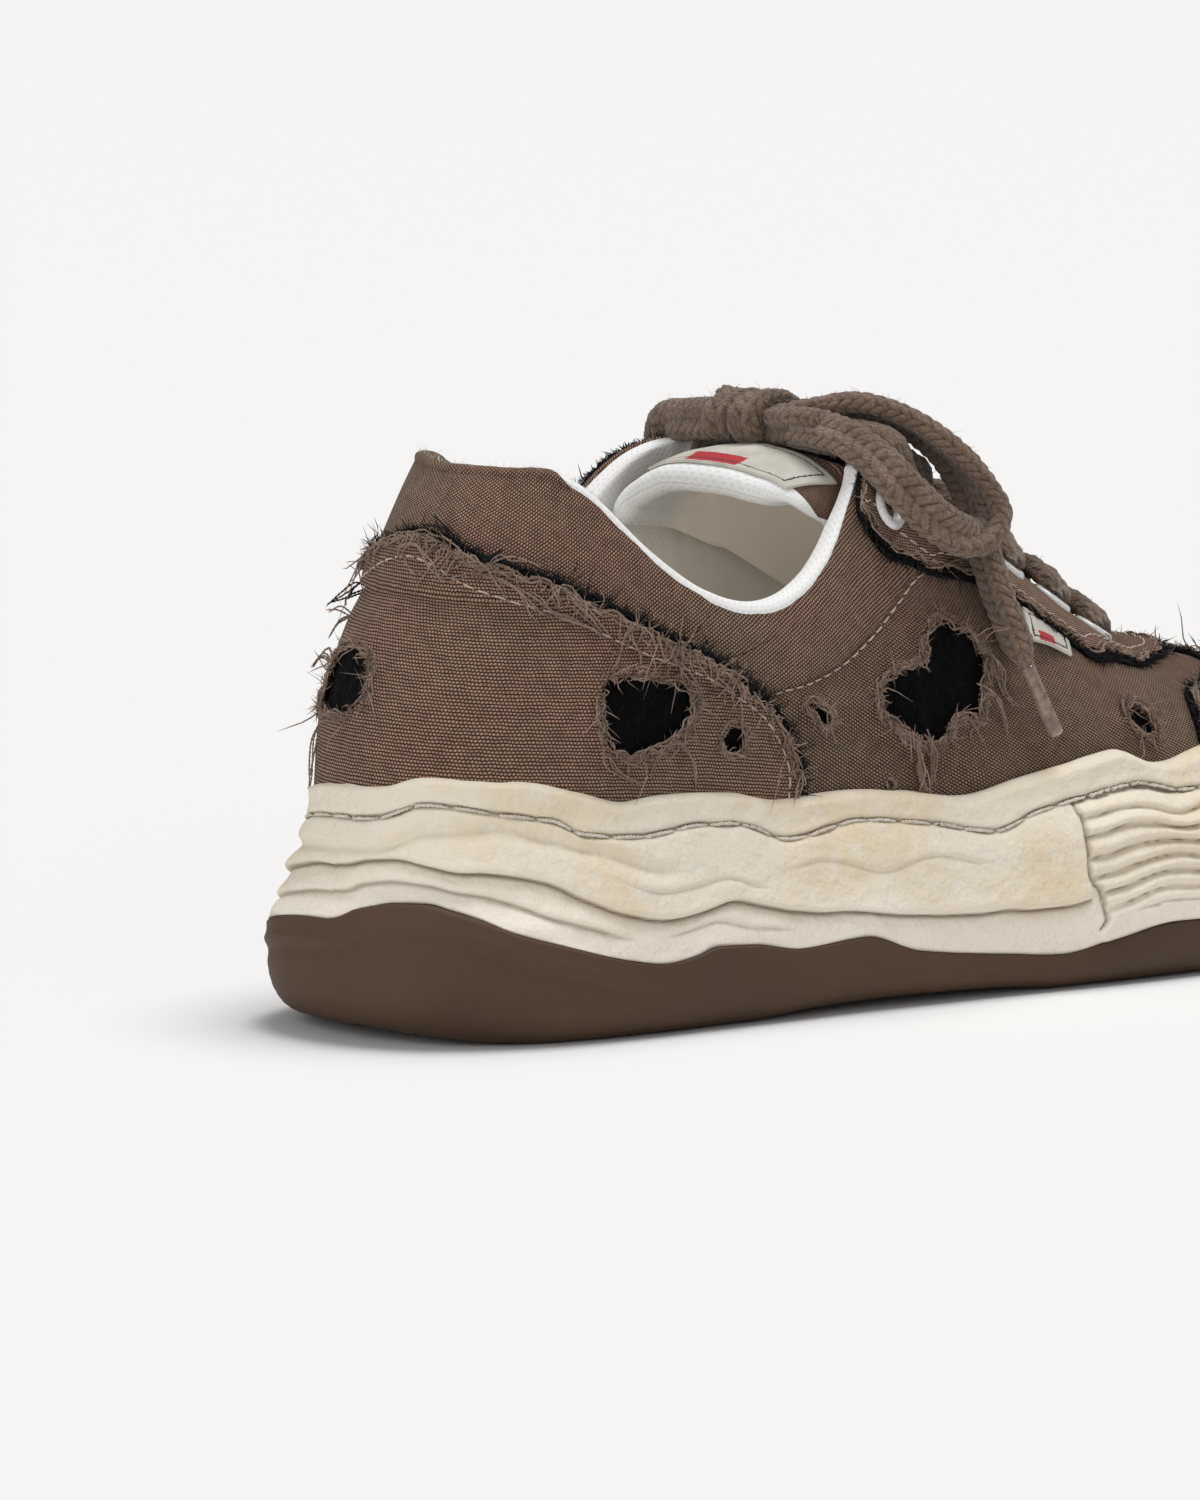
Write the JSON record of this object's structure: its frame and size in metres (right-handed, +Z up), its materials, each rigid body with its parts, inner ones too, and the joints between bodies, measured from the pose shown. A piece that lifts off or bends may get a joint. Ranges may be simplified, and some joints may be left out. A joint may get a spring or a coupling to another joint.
{
  "type": "worn out sneaker",
  "caption": "Worn low-top canvas sneaker, right foot, with a hollow torn upper, thick wavy foam cup, rubber outsole and a tied bow.",
  "frame": {"origin": "middle of the sole's box, on the floor", "axes": "+Y to the toe, +X to the outer side of the right foot, +Z up"},
  "size_m": [0.1232, 0.2916, 0.128],
  "materials": {
    "canvas": "worn plain-weave canvas, frayed",
    "lining": "white spacer mesh",
    "foam": "matte, folded and stained",
    "rubber": "matte",
    "lace": "fluffy braided cotton",
    "ring": "satin white",
    "tip": "clear glossy film over the lace"
  },
  "bodies": {
    "root": {"outsole": "rubber", "midsole": "foam", "insole": "lining", "upper": "canvas", "tongue": "canvas", "eyelet_lateral_1": "ring", "eyelet_lateral_2": "ring", "eyelet_lateral_3": "ring", "eyelet_lateral_4": "ring", "eyelet_lateral_5": "ring", "eyelet_lateral_6": "ring", "eyelet_medial_1": "ring", "eyelet_medial_2": "ring", "eyelet_medial_3": "ring", "eyelet_medial_4": "ring", "eyelet_medial_5": "ring", "eyelet_medial_6": "ring", "lace_crossings": "lace", "lace_knot": "lace", "lace_loop_lateral": "lace", "lace_loop_medial": "lace", "lace_tail_lateral": "lace", "lace_tail_medial": "lace", "aglet_lateral": "tip", "aglet_medial": "tip"}
  },
  "joints": []
}
